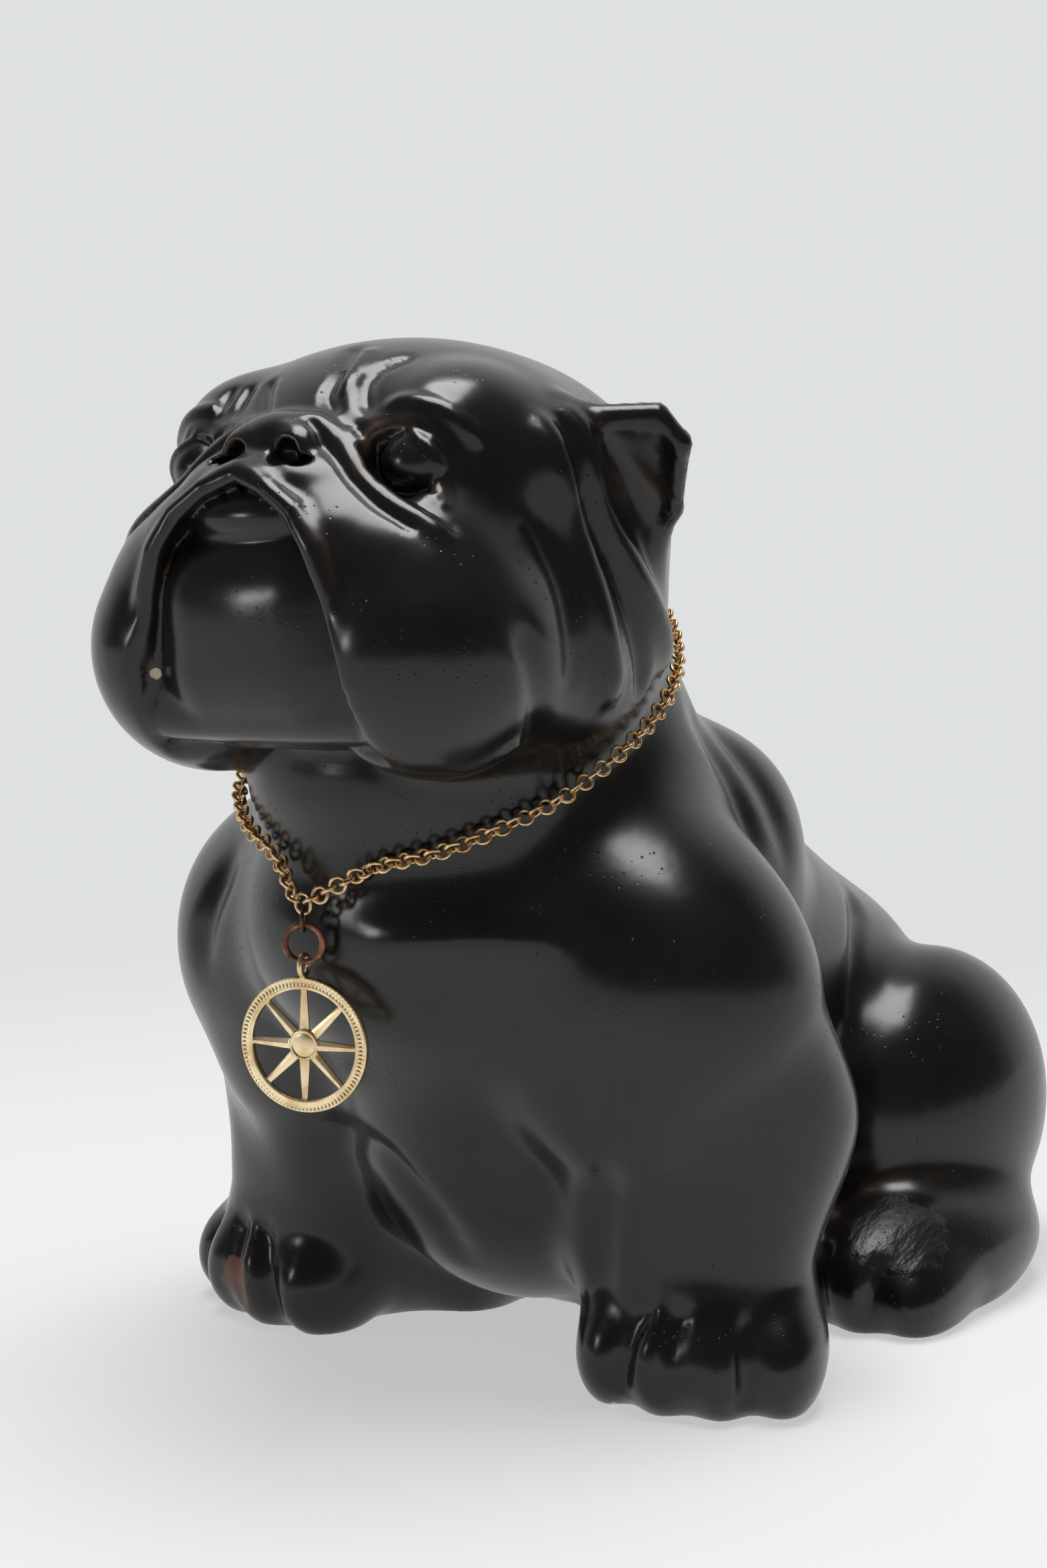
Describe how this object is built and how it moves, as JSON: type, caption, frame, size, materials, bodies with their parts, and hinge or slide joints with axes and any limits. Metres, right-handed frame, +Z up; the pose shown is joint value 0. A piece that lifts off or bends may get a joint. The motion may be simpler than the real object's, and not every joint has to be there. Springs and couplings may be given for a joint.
{
  "type": "animal ornament with necklace",
  "caption": "Seated bulldog ornament in black lacquered terracotta, wearing a round-link chain with a clasp, a pendant ring and an openwork sunburst medallion.",
  "frame": {"origin": "on the floor under the middle of the ornament", "axes": "+Z up; the dog faces -Y, and its left side is +X"},
  "size_m": [0.235, 0.3508, 0.3152],
  "materials": {
    "lacquered_terracotta": "satin-gloss black lacquer over reddish terracotta, rubbed brown at the edges",
    "rose_brass": "rose-gold plated brass wire, slightly worn",
    "dark_brass": "dark brown tarnish",
    "worn_copper": "worn copper-brown plating",
    "pale_gold": "polished pale gold plating",
    "clasp_brass": "polished brass"
  },
  "bodies": {
    "dog": {"sculpture": "lacquered_terracotta", "neck_chain_left": "rose_brass", "neck_chain_right": "rose_brass", "clasp_case": "clasp_brass"},
    "front_chain": {"link_middle": "rose_brass", "link_left_1": "rose_brass", "link_left_2": "rose_brass", "link_left_3": "rose_brass", "link_left_4": "rose_brass", "link_left_5": "rose_brass", "link_left_6": "rose_brass", "link_left_7": "rose_brass", "link_left_8": "rose_brass", "link_left_9": "rose_brass", "link_left_10": "rose_brass", "link_left_11": "rose_brass", "link_left_12": "rose_brass", "link_left_13": "rose_brass", "link_left_14": "rose_brass", "link_left_15": "rose_brass", "link_left_16": "rose_brass", "link_left_17": "rose_brass", "link_left_18": "rose_brass", "link_left_19": "rose_brass", "link_left_20": "rose_brass", "link_right_1": "rose_brass", "link_right_2": "rose_brass", "link_right_3": "rose_brass", "link_right_4": "rose_brass", "link_right_5": "rose_brass", "link_right_6": "rose_brass", "link_right_7": "rose_brass", "link_right_8": "rose_brass", "link_right_9": "rose_brass", "link_right_10": "rose_brass", "link_right_11": "rose_brass", "link_right_12": "rose_brass", "link_right_13": "rose_brass", "link_right_14": "rose_brass", "link_right_15": "rose_brass", "link_right_16": "rose_brass", "link_right_17": "rose_brass", "link_right_18": "rose_brass", "link_right_19": "rose_brass", "link_right_20": "rose_brass"},
    "connector": {"connector_link": "dark_brass"},
    "ring": {"pendant_ring": "worn_copper"},
    "pendant": {"medallion": "pale_gold"},
    "bolt": {"clasp_bolt": "clasp_brass"}
  },
  "joints": [
    {"name": "chain_lift", "type": "hinge", "parent": "dog", "child": "front_chain", "pos_m": [-0.00243, -0.11224, 0.17919], "axis": [-0.9985, 0.0496, 0.0246], "range_deg": [0, 25]},
    {"name": "connector_sway", "type": "hinge", "parent": "front_chain", "child": "connector", "pos_m": [-0.00427, -0.13824, 0.15286], "axis": [0.5, -0.866, 0], "range_deg": [-12, 12]},
    {"name": "ring_swing", "type": "hinge", "parent": "connector", "child": "ring", "pos_m": [-0.00427, -0.13824, 0.14813], "axis": [-0.866, -0.5, 0], "range_deg": [0, 35]},
    {"name": "pendant_swing", "type": "hinge", "parent": "ring", "child": "pendant", "pos_m": [-0.00427, -0.13824, 0.13815], "axis": [-0.866, -0.5, 0], "range_deg": [0, 40]},
    {"name": "bolt_slide", "type": "hinge", "parent": "dog", "child": "bolt", "pos_m": [-0.00027, -0.00077, 0.24185], "axis": [0.0033, 0.9911, -0.1333], "range_deg": [0, 60], "stiffness_Nm_per_rad": 0.0005, "springref_deg": -28.65}
  ]
}
